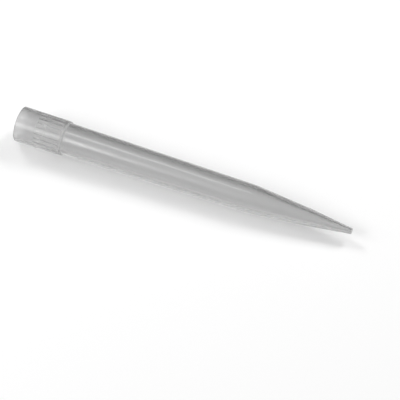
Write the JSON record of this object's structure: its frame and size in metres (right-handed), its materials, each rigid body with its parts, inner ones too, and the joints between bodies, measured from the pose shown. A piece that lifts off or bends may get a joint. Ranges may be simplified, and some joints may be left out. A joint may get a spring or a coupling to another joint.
{
  "type": "pipette tip",
  "caption": "Long translucent macro pipette tip: plain collar with a fluted socket, stepped slightly tapering barrel and a conical point with a fine orifice.",
  "frame": {"origin": "centre of the mouth, on the table that the tip stands on", "axes": "+Z along the tip's axis, from the mouth up to the orifice; a groove of the socket lies towards +X"},
  "size_m": [0.0152, 0.0152, 0.15],
  "materials": {
    "natural_polypropylene": "translucent natural polypropylene, satin moulded"
  },
  "bodies": {
    "root": {"pipette_tip": "natural_polypropylene"}
  },
  "joints": []
}
